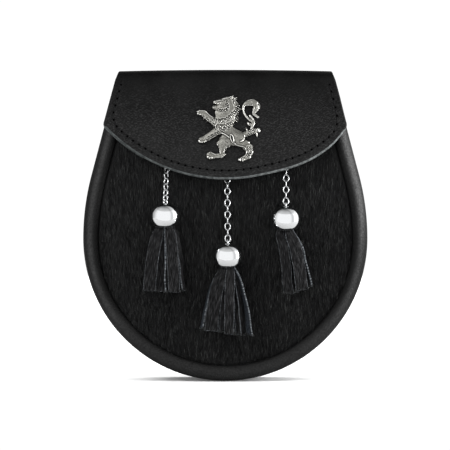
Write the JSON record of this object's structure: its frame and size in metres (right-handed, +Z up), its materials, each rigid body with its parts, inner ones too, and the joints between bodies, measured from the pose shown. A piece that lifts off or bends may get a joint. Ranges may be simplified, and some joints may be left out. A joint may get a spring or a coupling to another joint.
{
  "type": "sporran pouch",
  "caption": "Round-bottomed leather belt pouch with a hair-on hide front, a folded flap with a cast rampant lion, and tassels hanging from chains under polished bell caps.",
  "frame": {"origin": "middle of the strap tunnel on the back, between the back panel and the strap loop", "axes": "+Z up, -Y towards the front with the badge, +X to the right of a viewer facing the front"},
  "size_m": [0.1844, 0.0622, 0.2011],
  "materials": {
    "smooth_leather": "smooth black leather, low sheen",
    "grained_leather": "black leather with a fine pebble grain",
    "hair_on_hide": "black hide with short hair",
    "polished_metal": "mirror polish",
    "antiqued_metal": "cast, antiqued, darker in the recesses"
  },
  "bodies": {
    "root": {"back_panel": "smooth_leather", "gusset": "smooth_leather", "front_panel": "hair_on_hide", "flap": "grained_leather", "flap_lining": "smooth_leather", "strap_loop": "smooth_leather", "closure_stud": "polished_metal", "chain_post_left": "polished_metal", "chain_post_middle": "polished_metal", "chain_post_right": "polished_metal", "chain_left": "polished_metal", "chain_middle": "polished_metal", "chain_right": "polished_metal", "bell_left": "polished_metal", "bell_middle": "polished_metal", "bell_right": "polished_metal", "tassel_left": "hair_on_hide", "tassel_middle": "hair_on_hide", "tassel_right": "hair_on_hide", "lion_badge": "antiqued_metal"}
  },
  "joints": []
}
